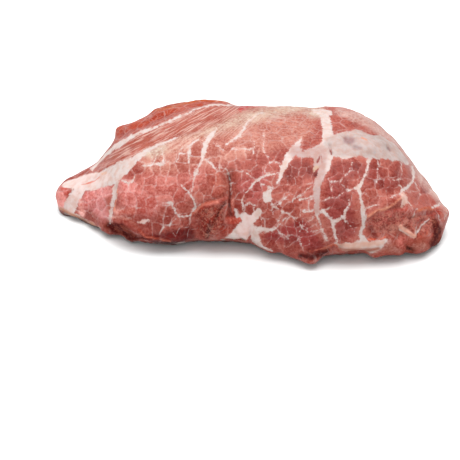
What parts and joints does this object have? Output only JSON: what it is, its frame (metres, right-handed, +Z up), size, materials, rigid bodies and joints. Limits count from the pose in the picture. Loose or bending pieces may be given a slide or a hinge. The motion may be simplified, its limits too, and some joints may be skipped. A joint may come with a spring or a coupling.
{
  "type": "pork presa",
  "caption": "Whole raw pork presa: a plump oval of marbled meat from between shoulder and loin, thin at one end, lying on its flat underside.",
  "frame": {"origin": "on the surface it lies on, under the middle of its length and depth", "axes": "+X along its length towards the blunt end, +Y away from the side that the picture shows, +Z up"},
  "size_m": [0.2312, 0.1232, 0.062],
  "materials": {
    "meat": "moist raw pork, marbled with white fat"
  },
  "bodies": {
    "root": {"presa": "meat"}
  },
  "joints": []
}
